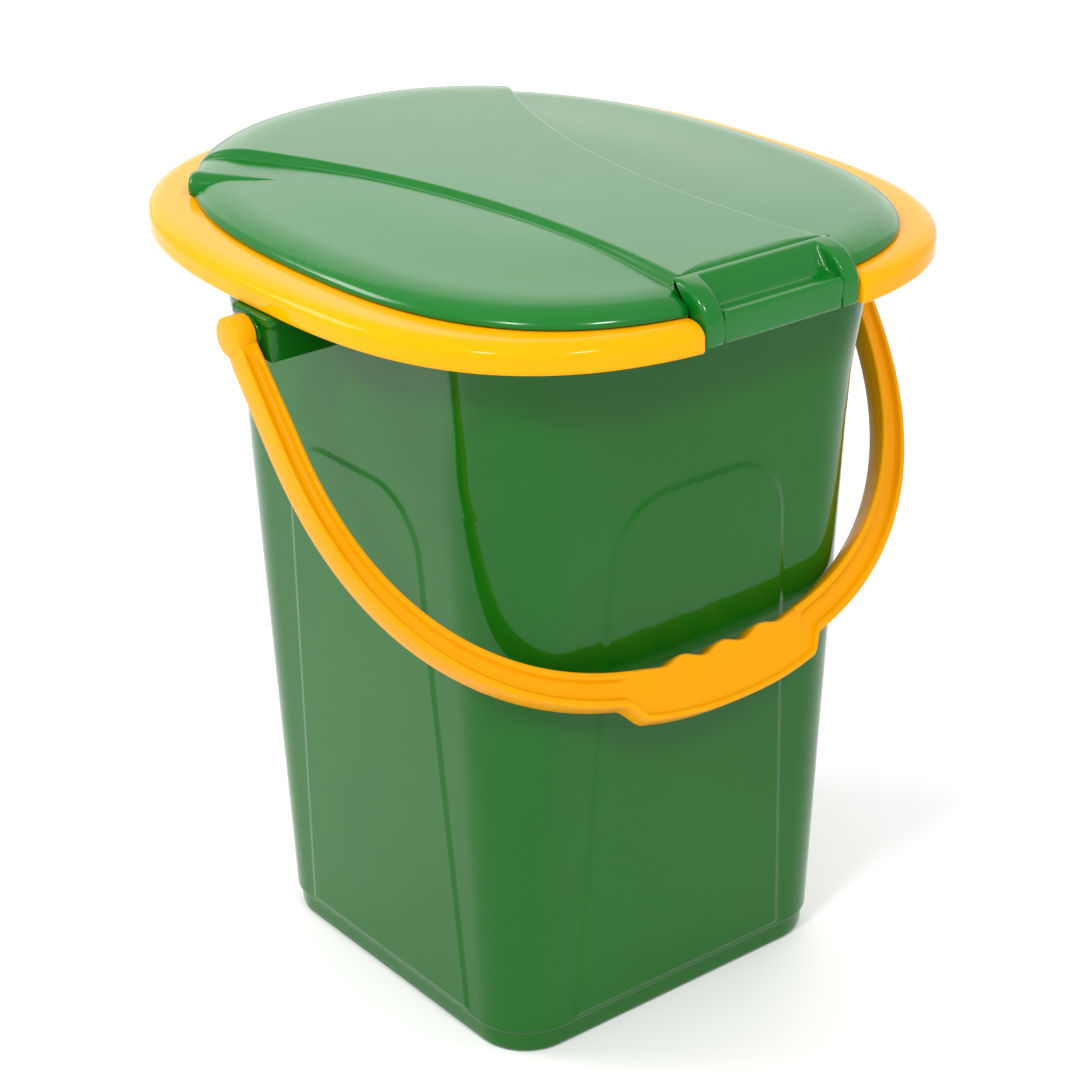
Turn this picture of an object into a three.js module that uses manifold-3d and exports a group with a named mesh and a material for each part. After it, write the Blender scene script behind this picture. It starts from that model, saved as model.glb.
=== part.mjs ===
// Portable bucket toilet: square tapered bucket, seat ring with a hinge notch,
// hinged lid and a swinging bail handle.
// Units are millimetres. +Z is up, +Y is the hinge side, the handle turns about X.
// The origin is the centre of the flat foot.

import * as THREE from 'three';
import Module from 'manifold-3d';

const wasm = await Module();
wasm.setup();

const GREEN = '#2f7135';
const YELLOW = '#f4ab0c';

// Bucket
const CORNER_STEPS = 7;
const WALL = 2.5;
const FLOOR_Z = 4;
const STEP_Z = 12.7;
const BODY_ROWS = [
  { z: 0, half: 104, radius: 28 },
  { z: 11.7, half: 105, radius: 29 },
  { z: STEP_Z, half: 106.2, radius: 30 },
  { z: 294, half: 118.4, radius: 42 },
  { z: 322, half: 119.6, radius: 42 },
  { z: 350, half: 120.9, radius: 36 },
  { z: 385, half: 122.3, radius: 30 },
];
const RIM_BOTTOM_Z = 390.6;
const RIM_TOP_Z = 395.2;
const RIM_HALF = 125.4;

// Raised arched panel on each face
const PANEL_RAISE = 1;
const PANEL_BASE_HALF = 67.3;
const PANEL_TOP_HALF = 53;
const PANEL_TOP_Z = 294;
const PANEL_CORNER = 33;

// Handle bracket on each side
const BRACKET_IN = 120.5;
const BRACKET_OUT = 169;
const BRACKET_HALF = 15.6;
const BRACKET_BOTTOM_Z = 363;
const BRACKET_TOP_Z = 384.5;
const BRACKET_WALL = 3;
const STUB_RADIUS = 4.6;
const STUB_END = 177;

// Seat ring
const OVAL_STEPS = 72;
const RING_OVAL = { side: 165.9, back: 174.9, front: 199.3, backPower: 2.88, frontPower: 2.6 };
const RING_BOTTOM_Z = 385;
const RING_TOP_Z = 398.5;
const RING_ROUND_WIDTH = 9;
const RING_ROUND_HEIGHT = 6.5;
const RING_SKIN = 3;
const HOLE_OVAL = { side: 97, back: 103, front: 112, backPower: 2.3, frontPower: 2.3 };
const SKIRT_BOTTOM_Z = 377;
const NOTCH_HALF = 47.4;
const NOTCH_INNER_Y = 148.5;
const NOTCH_WALL = 5;

// Lid
const LID_OVAL = { side: 145.2, back: 165.4, front: 192.9, backPower: 2.8, frontPower: 2.3 };
const LID_BOTTOM_Z = 399;
const LID_ROWS = [
  { z: LID_BOTTOM_Z, inset: 0.5 },
  { z: 399.8, inset: 0 },
  { z: 402.5, inset: 1 },
  { z: 404.9, inset: 4 },
  { z: 406.6, inset: 8.5 },
  { z: 407.5, inset: 13.5 },
  { z: 407.9, inset: 20 },
];
const BAND_ROWS = [
  { z: 402, inset: 0.8 },
  { z: 405.9, inset: 3.6 },
  { z: 408.6, inset: 8.4 },
  { z: 411.2, inset: 16 },
  { z: 412.6, inset: 26 },
];
const LID_HOLLOW_ROWS = [
  { z: LID_BOTTOM_Z - 2, inset: 2.8 },
  { z: 400.4, inset: 3.2 },
  { z: 402.6, inset: 6.4 },
  { z: 404.2, inset: 11 },
  { z: 404.9, inset: 18 },
];

// Hinge block and axis
const AXIS_Y = 165.5;
const AXIS_Z = 389.6;
const BLOCK_HALF = 46.2;
const POCKET_HALF = 35;
const POCKET_FLOOR_Z = 398.6;
const POCKET_LIP_Z = 400.6;
const PIN_RADIUS = 3.2;
const PIN_HOLE_RADIUS = 3.6;
const BLOCK_PROFILE = [
  [151, 385.6],
  [171, 385.6],
  [172, 386.8],
  [172, 398.6],
  [170.6, 402.6],
  [167.4, 406.6],
  [162.6, 409.8],
  [156, 411.9],
  [147, 412.6],
  [147, LID_BOTTOM_Z],
  [149.6, LID_BOTTOM_Z],
  [151, 396.5],
];

// Bail handle, drawn in its own tilted plane
const TILT = THREE.MathUtils.degToRad(37.5);
const PIVOT_Z = 374.6;
const ARM_OUTER = 181.5;
const ARM_INNER = 169.5;
const EYE_INNER = 171;
const ARM_STRAIGHT = 49;
const BOW_OUTER = 178;
const BOW_INNER = 161;
const BOW_POWER = 2.35;
const BOW_STEPS = 56;
const HANDLE_THICK = 12.5;
const CHANNEL_DEPTH = 2;
const CHANNEL_RIM = 3.2;
const GRIP_HALF = 58.5;
const GRIP_STEP = 7.5;
const GRIP_BULGE = 2.4;
const FINGER_PITCH = 24.8;
const FINGER_DEPTH = 3.4;
const FINGER_DIP = 0.8;
const FINGER_CENTRE = -3;
const EYE_RADIUS = 9.5;
const EYE_HOLE_RADIUS = 5.1;
const EYE_HOLE_END = 178;

// ---------- solids ----------

function solid(points, triangles) {
  const mesh = new wasm.Mesh({
    numProp: 3,
    vertProperties: new Float32Array(points.flat()),
    triVerts: new Uint32Array(triangles.flat()),
  });
  return new wasm.Manifold(mesh);
}

// Joins equal-length closed loops into one capped solid.
function loft(loops) {
  const count = loops[0].length;
  const points = loops.flat();
  const triangles = [];
  for (let row = 0; row + 1 < loops.length; row += 1) {
    for (let i = 0; i < count; i += 1) {
      const a = row * count + i;
      const b = row * count + ((i + 1) % count);
      triangles.push([a, b, b + count]);
      triangles.push([a, b + count, a + count]);
    }
  }
  const last = (loops.length - 1) * count;
  for (let i = 1; i + 1 < count; i += 1) {
    triangles.push([0, i + 1, i]);
    triangles.push([last, last + i, last + i + 1]);
  }
  return solid(points, triangles);
}

function box(low, high) {
  const loop = (z) => [
    [low[0], low[1], z],
    [high[0], low[1], z],
    [high[0], high[1], z],
    [low[0], high[1], z],
  ];
  return loft([loop(low[2]), loop(high[2])]);
}

// A round bar along X.
function barX(fromX, toX, y, z, radius, steps = 24) {
  const loop = (x) => {
    const ring = [];
    for (let i = 0; i < steps; i += 1) {
      const angle = (2 * Math.PI * i) / steps;
      ring.push([x, y + radius * Math.cos(angle), z + radius * Math.sin(angle)]);
    }
    return ring;
  };
  return loft([loop(Math.min(fromX, toX)), loop(Math.max(fromX, toX))]);
}

// A profile in the Y-Z plane pulled along X. Its points run anticlockwise.
function prismX(profile, halfWidth) {
  const loop = (x) => profile.map(([y, z]) => [x, y, z]);
  const contour = profile.map(([y, z]) => new THREE.Vector2(y, z));
  const faces = THREE.ShapeUtils.triangulateShape(contour, []);
  return capped([loop(-halfWidth), loop(halfWidth)], faces);
}

// Like loft, for loops that are not convex: the caps come from a triangulation.
function capped(loops, faces) {
  const count = loops[0].length;
  const triangles = [];
  for (let i = 0; i < count; i += 1) {
    const next = (i + 1) % count;
    triangles.push([i, next, next + count]);
    triangles.push([i, next + count, i + count]);
  }
  for (const [a, b, c] of faces) {
    triangles.push([a, c, b]);
    triangles.push([a + count, b + count, c + count]);
  }
  return solid(loops.flat(), triangles);
}

function roundedSquare(half, radius, z) {
  const loop = [];
  const centre = half - radius;
  const signs = [[1, 1], [-1, 1], [-1, -1], [1, -1]];
  signs.forEach(([sx, sy], corner) => {
    for (let i = 0; i <= CORNER_STEPS; i += 1) {
      const angle = (Math.PI / 2) * (corner + i / CORNER_STEPS);
      const x = sx * centre + radius * Math.cos(angle);
      const y = sy * centre + radius * Math.sin(angle);
      loop.push([x, y, z]);
    }
  });
  return loop;
}

function ovalPoint(oval, inset, angle) {
  const c = Math.cos(angle);
  const s = Math.sin(angle);
  const power = s >= 0 ? oval.backPower : oval.frontPower;
  const depth = (s >= 0 ? oval.back : oval.front) - inset;
  const side = oval.side - inset;
  const sum = (Math.abs(c) / side) ** power + (Math.abs(s) / depth) ** power;
  const reach = sum ** (-1 / power);
  return [reach * c, reach * s];
}

function ovalLoop(oval, inset, z) {
  const loop = [];
  for (let i = 0; i < OVAL_STEPS; i += 1) {
    const [x, y] = ovalPoint(oval, inset, (2 * Math.PI * i) / OVAL_STEPS);
    loop.push([x, y, z]);
  }
  return loop;
}

function ovalStack(oval, rows) {
  return loft(rows.map((row) => ovalLoop(oval, row.inset, row.z)));
}

// ---------- bucket ----------

function bodyShell() {
  const outer = BODY_ROWS.map((row) => roundedSquare(row.half, row.radius, row.z));
  const neck = BODY_ROWS[BODY_ROWS.length - 1];
  outer.push(roundedSquare(neck.half + 0.3, neck.radius, RIM_BOTTOM_Z - 0.6));
  outer.push(roundedSquare(RIM_HALF, neck.radius + 3, RIM_BOTTOM_Z));
  outer.push(roundedSquare(RIM_HALF, neck.radius + 3, RIM_TOP_Z));
  return loft(outer);
}

function bodyCavity() {
  const rows = BODY_ROWS.filter((row) => row.z >= STEP_Z);
  const first = BODY_ROWS[0];
  const last = rows[rows.length - 1];
  const loops = [roundedSquare(first.half - WALL, first.radius - 2, FLOOR_Z)];
  for (const row of rows) {
    loops.push(roundedSquare(row.half - WALL, row.radius - WALL, row.z));
  }
  loops.push(roundedSquare(last.half - WALL + 0.4, last.radius - WALL, RIM_TOP_Z + 1));
  return loft(loops);
}

function panelOutline() {
  const centreS = PANEL_TOP_HALF - PANEL_CORNER;
  const centreZ = PANEL_TOP_Z - PANEL_CORNER;
  const right = [[PANEL_BASE_HALF, STEP_Z + 1.2]];
  for (let i = 0; i <= 6; i += 1) {
    const angle = (Math.PI / 2) * (i / 6);
    const s = centreS + PANEL_CORNER * Math.cos(angle);
    right.push([s, centreZ + PANEL_CORNER * Math.sin(angle)]);
  }
  const left = right.map(([s, z]) => [-s, z]).reverse();
  return [...right, ...left];
}

function raisedPanels() {
  const rows = BODY_ROWS.filter((row) => row.z >= STEP_Z && row.z <= 322);
  const skin = loft(
    rows.map((row) => roundedSquare(row.half + PANEL_RAISE, row.radius + PANEL_RAISE, row.z)),
  );
  const outline = panelOutline();
  const turns = [0, 1, 2, 3];
  let panels = null;
  for (const turn of turns) {
    const angle = (Math.PI / 2) * turn;
    const place = (s, out, z) => [
      out * Math.cos(angle) - s * Math.sin(angle),
      out * Math.sin(angle) + s * Math.cos(angle),
      z,
    ];
    const near = outline.map(([s, z]) => place(s, 104.8, z));
    const far = outline.map(([s, z]) => place(s, 130, z));
    const plate = loft([near, far]).intersect(skin);
    panels = panels ? panels.add(plate) : plate;
  }
  return panels;
}

function roundedBox(low, high, radius) {
  const corner = (x, y, sx, sy, z) => {
    const start = Math.atan2(sy, sx) - Math.PI / 4;
    const points = [];
    for (let i = 0; i <= 4; i += 1) {
      const angle = start + (Math.PI / 8) * i;
      points.push([
        x - sx * radius + radius * Math.cos(angle),
        y - sy * radius + radius * Math.sin(angle),
        z,
      ]);
    }
    return points;
  };
  const loop = (z) => [
    ...corner(high[0], high[1], 1, 1, z),
    ...corner(low[0], high[1], -1, 1, z),
    ...corner(low[0], low[1], -1, -1, z),
    ...corner(high[0], low[1], 1, -1, z),
  ];
  return loft([loop(low[2]), loop(high[2])]);
}

function bracket(side) {
  const xs = [side * BRACKET_IN, side * BRACKET_OUT].sort((a, b) => a - b);
  const hollowXs = [
    side * (BRACKET_IN - 2),
    side * (BRACKET_OUT - BRACKET_WALL),
  ].sort((a, b) => a - b);
  const low = [xs[0], -BRACKET_HALF, BRACKET_BOTTOM_Z];
  const high = [xs[1], BRACKET_HALF, BRACKET_TOP_Z];
  const hollowHalf = BRACKET_HALF - BRACKET_WALL;
  const hollow = roundedBox(
    [hollowXs[0], -hollowHalf, BRACKET_BOTTOM_Z - 2],
    [hollowXs[1], hollowHalf, BRACKET_TOP_Z - BRACKET_WALL],
    1.5,
  );
  const stub = barX(side * (BRACKET_OUT - 1), side * STUB_END, 0, PIVOT_Z, STUB_RADIUS, 20);
  return roundedBox(low, high, 2).subtract(hollow).add(stub);
}

function makeBucket() {
  return bodyShell()
    .add(raisedPanels())
    .subtract(bodyCavity())
    .add(bracket(1))
    .add(bracket(-1));
}

// ---------- seat ring ----------

function roundedEdgeRows(offset, bottomZ) {
  const width = RING_ROUND_WIDTH - offset;
  const height = RING_ROUND_HEIGHT - offset;
  const centreZ = RING_TOP_Z - RING_ROUND_HEIGHT;
  const rows = [{ z: bottomZ, inset: offset }];
  for (let i = 0; i <= 4; i += 1) {
    const angle = (Math.PI / 2) * (i / 4);
    rows.push({
      z: centreZ + height * Math.sin(angle),
      inset: RING_ROUND_WIDTH - width * Math.cos(angle),
    });
  }
  return rows;
}

function makeRing() {
  const outside = ovalStack(RING_OVAL, roundedEdgeRows(0, RING_BOTTOM_Z));
  const hole = ovalStack(HOLE_OVAL, [
    { z: SKIRT_BOTTOM_Z - 5, inset: 0 },
    { z: RING_TOP_Z - 2, inset: 0 },
    { z: RING_TOP_Z + 3, inset: -5 },
  ]);
  const skirt = ovalStack(HOLE_OVAL, [
    { z: SKIRT_BOTTOM_Z, inset: -RING_SKIN },
    { z: RING_TOP_Z - 2, inset: -RING_SKIN },
  ]);
  const post = ovalStack(HOLE_OVAL, [
    { z: SKIRT_BOTTOM_Z - 6, inset: -RING_SKIN },
    { z: RING_TOP_Z + 2, inset: -RING_SKIN },
  ]);
  const notchHalf = NOTCH_HALF + NOTCH_WALL;
  const notchBlock = box(
    [-notchHalf, NOTCH_INNER_Y - NOTCH_WALL, 360],
    [notchHalf, 220, 420],
  );
  const channel = ovalStack(RING_OVAL, roundedEdgeRows(RING_SKIN, RING_BOTTOM_Z - 5))
    .subtract(post)
    .subtract(notchBlock);
  const notch = box([-NOTCH_HALF, NOTCH_INNER_Y, 360], [NOTCH_HALF, 220, 420]);
  const pinHoles = barX(-60, 60, AXIS_Y, AXIS_Z, PIN_HOLE_RADIUS, 20);
  return outside
    .subtract(channel)
    .add(skirt)
    .subtract(hole)
    .subtract(notch)
    .subtract(pinHoles);
}

// ---------- lid ----------

// Half-width of the raised band, widening towards the hinge and flaring at the front.
function bandHalf(y) {
  const waist = 74;
  if (y > waist) {
    return 38.5 + 6 * ((y - waist) / 80) ** 2;
  }
  return 38.5 + 60 * ((waist - y) / 230) ** 2.2;
}

function bandPrism() {
  const right = [];
  const steps = 14;
  for (let i = 0; i <= steps; i += 1) {
    const y = -200 + (366 * i) / steps;
    right.push([bandHalf(y), y]);
  }
  const left = right.map(([x, y]) => [-x, y]).reverse();
  const outline = [...right, ...left];
  const contour = outline.map(([x, y]) => new THREE.Vector2(x, y));
  const faces = THREE.ShapeUtils.triangulateShape(contour, []);
  const loop = (z) => outline.map(([x, y]) => [x, y, z]);
  return capped([loop(402), loop(420)], faces);
}

function fingerLift() {
  const start = new THREE.Vector3(118, -125, 401.6);
  const end = new THREE.Vector3(88, -84, 407.4);
  const along = end.clone().sub(start).normalize();
  const across = new THREE.Vector3(0, 0, 1).cross(along).normalize();
  const up = along.clone().cross(across);
  const ring = (centre, radius) => {
    const points = [];
    for (let i = 0; i < 16; i += 1) {
      const angle = (2 * Math.PI * i) / 16;
      const point = centre
        .clone()
        .addScaledVector(across, radius * Math.cos(angle))
        .addScaledVector(up, radius * Math.sin(angle));
      points.push(point.toArray());
    }
    return points;
  };
  const cone = loft([ring(start, 8), ring(end, 1.2)]);
  return cone.intersect(box([60, -180, LID_BOTTOM_Z], [150, -60, 420]));
}

function makeLid() {
  const band = ovalStack(LID_OVAL, BAND_ROWS).intersect(bandPrism());
  const block = prismX(BLOCK_PROFILE, BLOCK_HALF);
  const pocket = box([-POCKET_HALF, 153.5, POCKET_FLOOR_Z], [POCKET_HALF, 169.6, 420]);
  const lip = box([-POCKET_HALF, 168, POCKET_LIP_Z], [POCKET_HALF, 180, 420]);
  const pinEnd = NOTCH_HALF + NOTCH_WALL - 0.6;
  const pins = barX(-pinEnd, pinEnd, AXIS_Y, AXIS_Z, PIN_RADIUS, 20);
  return ovalStack(LID_OVAL, LID_ROWS)
    .add(band)
    .add(fingerLift())
    .subtract(ovalStack(LID_OVAL, LID_HOLLOW_ROWS))
    .add(block)
    .subtract(pocket)
    .subtract(lip)
    .add(pins);
}

// ---------- handle ----------

// In-plane coordinates: x across, d down from the pivot, w out of the front face.
function handlePoint(x, d, w) {
  const y = d * Math.sin(TILT) + w * Math.cos(TILT);
  const z = PIVOT_Z - d * Math.cos(TILT) + w * Math.sin(TILT);
  return [x, y, z];
}

function bowPoint(side, depth, angle) {
  const s = Math.sin(angle);
  const c = Math.cos(angle);
  const x = side * Math.sign(s) * Math.abs(s) ** (2 / BOW_POWER);
  const d = ARM_STRAIGHT + depth * Math.abs(c) ** (2 / BOW_POWER);
  return [x, d];
}

// 1 inside the grip, 0 outside, with a short ramp between.
function gripAmount(x) {
  const ramp = (GRIP_HALF + 3 - Math.abs(x)) / 8;
  return Math.min(1, Math.max(0, ramp));
}

// Three crests between four finger hollows, measured inwards from the plain inner edge.
function fingerWave(x) {
  const reach = Math.abs(x - FINGER_CENTRE);
  const end = 1.5 * FINGER_PITCH;
  if (reach > end) {
    const fade = Math.min(1, (reach - end) / 14);
    return -FINGER_DIP * (1 - fade);
  }
  const crest = 0.5 * (1 + Math.cos((2 * Math.PI * reach) / FINGER_PITCH));
  return FINGER_DEPTH * crest - FINGER_DIP;
}

function handleStations() {
  const stations = [];
  const arms = [0, 9, 18, 34];
  const armInner = (d) => EYE_INNER + ((ARM_INNER - EYE_INNER) * d) / ARM_STRAIGHT;
  for (const d of arms) {
    stations.push({ outer: [ARM_OUTER, d], inner: [armInner(d), d] });
  }
  for (let i = 0; i <= BOW_STEPS; i += 1) {
    const angle = (Math.PI / 2) * (1 - (2 * i) / BOW_STEPS);
    const outer = bowPoint(ARM_OUTER, BOW_OUTER, angle);
    const inner = bowPoint(ARM_INNER, BOW_INNER, angle);
    outer[1] += GRIP_STEP * gripAmount(outer[0]);
    outer[1] += GRIP_BULGE * Math.max(0, 1 - (outer[0] / GRIP_HALF) ** 2);
    inner[1] -= fingerWave(inner[0]);
    stations.push({ outer, inner });
  }
  for (const d of [...arms].reverse()) {
    stations.push({ outer: [-ARM_OUTER, d], inner: [-armInner(d), d] });
  }
  return stations;
}

function handleSection(station, groove) {
  const [ox, od] = station.outer;
  const [ix, id] = station.inner;
  const width = Math.hypot(ix - ox, id - od);
  const at = (distance, w) => {
    const t = distance / width;
    return handlePoint(ox + (ix - ox) * t, od + (id - od) * t, w);
  };
  const front = HANDLE_THICK / 2;
  const depth = front - groove;
  return [
    at(width, -front),
    at(width, front),
    at(width - CHANNEL_RIM, front),
    at(width - CHANNEL_RIM - 1.2, depth),
    at(CHANNEL_RIM + 1.2, depth),
    at(CHANNEL_RIM, front),
    at(0, front),
    at(0, -front),
  ];
}

function makeHandle() {
  const stations = handleStations();
  const last = stations.length - 1;
  const loops = stations.map((station, i) => {
    const edge = i < 2 || i > last - 2;
    return handleSection(station, edge ? 0 : CHANNEL_DEPTH);
  });
  let handle = loft(loops);
  for (const side of [1, -1]) {
    handle = handle.add(barX(side * EYE_INNER, side * ARM_OUTER, 0, PIVOT_Z, EYE_RADIUS, 28));
    const hole = barX(side * 160, side * EYE_HOLE_END, 0, PIVOT_Z, EYE_HOLE_RADIUS, 20);
    handle = handle.subtract(hole);
  }
  return handle;
}

// ---------- assembly ----------

function toMesh(body, name, colour) {
  const { vertProperties, triVerts, numProp } = body.getMesh();
  const positions = new Float32Array((vertProperties.length / numProp) * 3);
  for (let i = 0; i < positions.length / 3; i += 1) {
    for (let k = 0; k < 3; k += 1) {
      positions[3 * i + k] = vertProperties[numProp * i + k];
    }
  }
  const geometry = new THREE.BufferGeometry();
  geometry.setAttribute('position', new THREE.BufferAttribute(positions, 3));
  geometry.setIndex(new THREE.BufferAttribute(new Uint32Array(triVerts), 1));
  geometry.computeVertexNormals();
  const material = new THREE.MeshStandardMaterial({
    color: colour,
    roughness: 0.3,
    metalness: 0,
  });
  const mesh = new THREE.Mesh(geometry, material);
  mesh.name = name;
  return mesh;
}

const group = new THREE.Group();
group.name = 'bucket_toilet';
group.add(toMesh(makeBucket(), 'bucket_body', GREEN));
group.add(toMesh(makeRing(), 'seat_ring', YELLOW));
group.add(toMesh(makeLid(), 'lid', GREEN));
group.add(toMesh(makeHandle(), 'bail_handle', YELLOW));

export default group;
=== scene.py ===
"""Looks of the portable bucket toilet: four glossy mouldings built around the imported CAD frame.

Shapes are drawn in millimetres in the CAD frame (+Z up, +Y the hinge side) and turned into
metres when a mesh is made. The camera, lights and floor come last.
"""

import math

import bmesh
import bpy
from mathutils import Matrix, Vector
from mathutils.geometry import delaunay_2d_cdt


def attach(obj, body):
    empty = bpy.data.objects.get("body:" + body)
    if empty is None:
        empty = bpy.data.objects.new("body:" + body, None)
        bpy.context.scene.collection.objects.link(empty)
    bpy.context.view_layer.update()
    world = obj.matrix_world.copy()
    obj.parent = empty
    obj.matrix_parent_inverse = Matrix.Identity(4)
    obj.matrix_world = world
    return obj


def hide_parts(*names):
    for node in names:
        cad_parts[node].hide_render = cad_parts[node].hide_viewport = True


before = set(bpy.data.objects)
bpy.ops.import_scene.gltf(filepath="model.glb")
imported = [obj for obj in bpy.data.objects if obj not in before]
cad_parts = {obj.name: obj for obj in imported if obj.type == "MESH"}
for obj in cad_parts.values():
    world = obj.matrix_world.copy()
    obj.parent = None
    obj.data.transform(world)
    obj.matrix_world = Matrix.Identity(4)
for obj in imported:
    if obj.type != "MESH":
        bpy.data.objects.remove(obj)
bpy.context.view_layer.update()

MM = 0.001

# ---------- driving sizes, millimetres ----------

PIVOT_Z = 374.6
TILT = math.radians(37.5)
AXIS_Y = 165.5
AXIS_Z = 389.6

WALL = 2.5
STEP_Z = 12.7
RIM_TOP_Z = 395.2
NECK_Z = 385.0  # the wall's shape is settled below this height
BODY_ROWS = [  # height, half width, corner radius
    (STEP_Z, 106.2, 30.0),
    (294.0, 118.4, 42.0),
    (322.0, 119.6, 42.0),
    (350.0, 120.9, 36.0),
    (385.0, 122.3, 30.0),
]

PANEL_RAISE = 1.0
PANEL_BASE_HALF = 67.3
PANEL_TOP_HALF = 53.0
PANEL_TOP_Z = 294.0
PANEL_CORNER = 33.0

RING_OVAL = (165.9, 174.9, 199.3, 2.88, 2.6)  # side, back, front, back power, front power
HOLE_OVAL = (97.0, 103.0, 112.0, 2.3, 2.3)
LID_OVAL = (145.2, 165.4, 192.9, 2.8, 2.3)
RING_TOP_Z = 398.5
RING_BOTTOM_Z = 385.0
RING_SKIN = 3.0
RING_ROUND = (9.0, 6.5)  # width and height of the rounded outer edge
NOTCH_HALF = 47.4
NOTCH_Y = 148.5
LID_BOTTOM_Z = 399.0
LID_EDGE_Z = 399.8
LID_THICKNESS = 2.6
LOBE_RISE = 8.1
LOBE_SLOPE = 1.8
LOBE_ROUND = 19.0
BAND_RISE = 12.8
BAND_ROUND = 28.0
BAND_BACK_ROUND = 9.0
LID_EDGE_STEPS = 260
LID_RING_STEPS = 150
LID_RING_INSETS = (3.8, 5.0, 6.5, 8.3, 10.5, 13.0, 16.0, 19.5, 24.0)
LID_GRID = 8.0  # spacing of the loose points inside the rings
LID_GRID_INSET = 28.0
BLOCK_HALF = 46.2
BLOCK_START_Y = 149.0


# ---------- small maths ----------

def smooth(edge0, edge1, value):
    t = min(1.0, max(0.0, (value - edge0) / (edge1 - edge0)))
    return t * t * (3 - 2 * t)


def lerp(a, b, t):
    return a + (b - a) * t


def interpolate(rows, z, column):
    """Straight-line interpolation of one column of a height table."""
    if z <= rows[0][0]:
        return rows[0][column]
    for low, high in zip(rows, rows[1:]):
        if z <= high[0]:
            return lerp(low[column], high[column], (z - low[0]) / (high[0] - low[0]))
    return rows[-1][column]


def oval_point(oval, inset, angle):
    side, back, front, back_power, front_power = oval
    c, s = math.cos(angle), math.sin(angle)
    power = back_power if s >= 0 else front_power
    depth = (back if s >= 0 else front) - inset
    reach = ((abs(c) / (side - inset)) ** power + (abs(s) / depth) ** power) ** (-1 / power)
    return reach * c, reach * s


def oval_inset(oval, x, y):
    """How far inside the oval's edge a point lies, in the oval's own inset measure."""
    side, back, front, back_power, front_power = oval
    power = back_power if y >= 0 else front_power
    depth = back if y >= 0 else front
    low, high = -5.0, side - 1.0
    for _ in range(30):
        middle = (low + high) / 2
        value = (abs(x) / (side - middle)) ** power + (abs(y) / (depth - middle)) ** power
        if value < 1:
            low = middle
        else:
            high = middle
    return low


# ---------- meshes ----------

class Sheet:
    """Collects points and faces, in millimetres, for one object."""

    def __init__(self):
        self.points = []
        self.faces = []

    def add_points(self, points):
        start = len(self.points)
        self.points.extend(points)
        return start

    def grid(self, rows, wrap=True):
        """Joins rows of equal length into quads. Returns the first index of each row."""
        count = len(rows[0])
        starts = [self.add_points(row) for row in rows]
        for a, b in zip(starts, starts[1:]):
            for i in range(count if wrap else count - 1):
                j = (i + 1) % count
                self.faces.append((a + i, a + j, b + j, b + i))
        return starts

    def cap(self, start, count):
        self.faces.append(tuple(range(start, start + count)))

    def loft(self, rows):
        """A closed solid from closed loops."""
        starts = self.grid(rows)
        self.cap(starts[0], len(rows[0]))
        self.cap(starts[-1], len(rows[0]))

    def build(self, name, weld=0.004):
        mesh = bpy.data.meshes.new(name)
        mesh.from_pydata([[c * MM for c in p] for p in self.points], [], self.faces)
        bm = bmesh.new()
        bm.from_mesh(mesh)
        bmesh.ops.remove_doubles(bm, verts=bm.verts, dist=weld * MM)
        bmesh.ops.dissolve_degenerate(bm, edges=bm.edges, dist=weld * MM)
        bmesh.ops.recalc_face_normals(bm, faces=bm.faces)
        for face in bm.faces:
            face.smooth = True
        bm.to_mesh(mesh)
        bm.free()
        obj = bpy.data.objects.new(name, mesh)
        bpy.context.scene.collection.objects.link(obj)
        return obj


def bar_x(sheet, stations, y, z, steps=32):
    """A turned bar along X from (x, radius) stations."""
    rows = []
    for x, radius in stations:
        row = []
        for i in range(steps):
            angle = 2 * math.pi * i / steps
            row.append((x, y + radius * math.cos(angle), z + radius * math.sin(angle)))
        rows.append(row)
    sheet.loft(rows)


# ---------- bucket ----------

def body_size(z):
    """Half width and corner radius at a height, with the table's kinks rounded off."""
    reach = 7.0
    steps = 8
    half = radius = 0.0
    for i in range(steps + 1):
        at = z + reach * (2 * i / steps - 1)
        at = min(max(at, STEP_Z), NECK_Z) if z < NECK_Z else z
        half += interpolate(BODY_ROWS, at, 1)
        radius += interpolate(BODY_ROWS, at, 2)
    return half / (steps + 1), radius / (steps + 1)


def wall_point(turn, s, z, half, radius, out):
    """A point on the wall. s runs along the wall from the middle of face number turn."""
    flat = half - radius
    side = 1 if s >= 0 else -1
    if abs(s) <= flat:
        x, y = half + out, s
    else:
        angle = (abs(s) - flat) / radius
        x = flat + (radius + out) * math.cos(angle)
        y = side * (flat + (radius + out) * math.sin(angle))
    c, s_ = [(1, 0), (0, 1), (-1, 0), (0, -1)][turn]
    return (x * c - y * s_, x * s_ + y * c, z)


PANEL_COLUMNS = 14
CORNER_COLUMNS = 15
EDGE_OFFSETS = (-3.0, -1.2, 0.0, 1.5, 3.2)  # loops along the panel's edge, inside to outside


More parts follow.
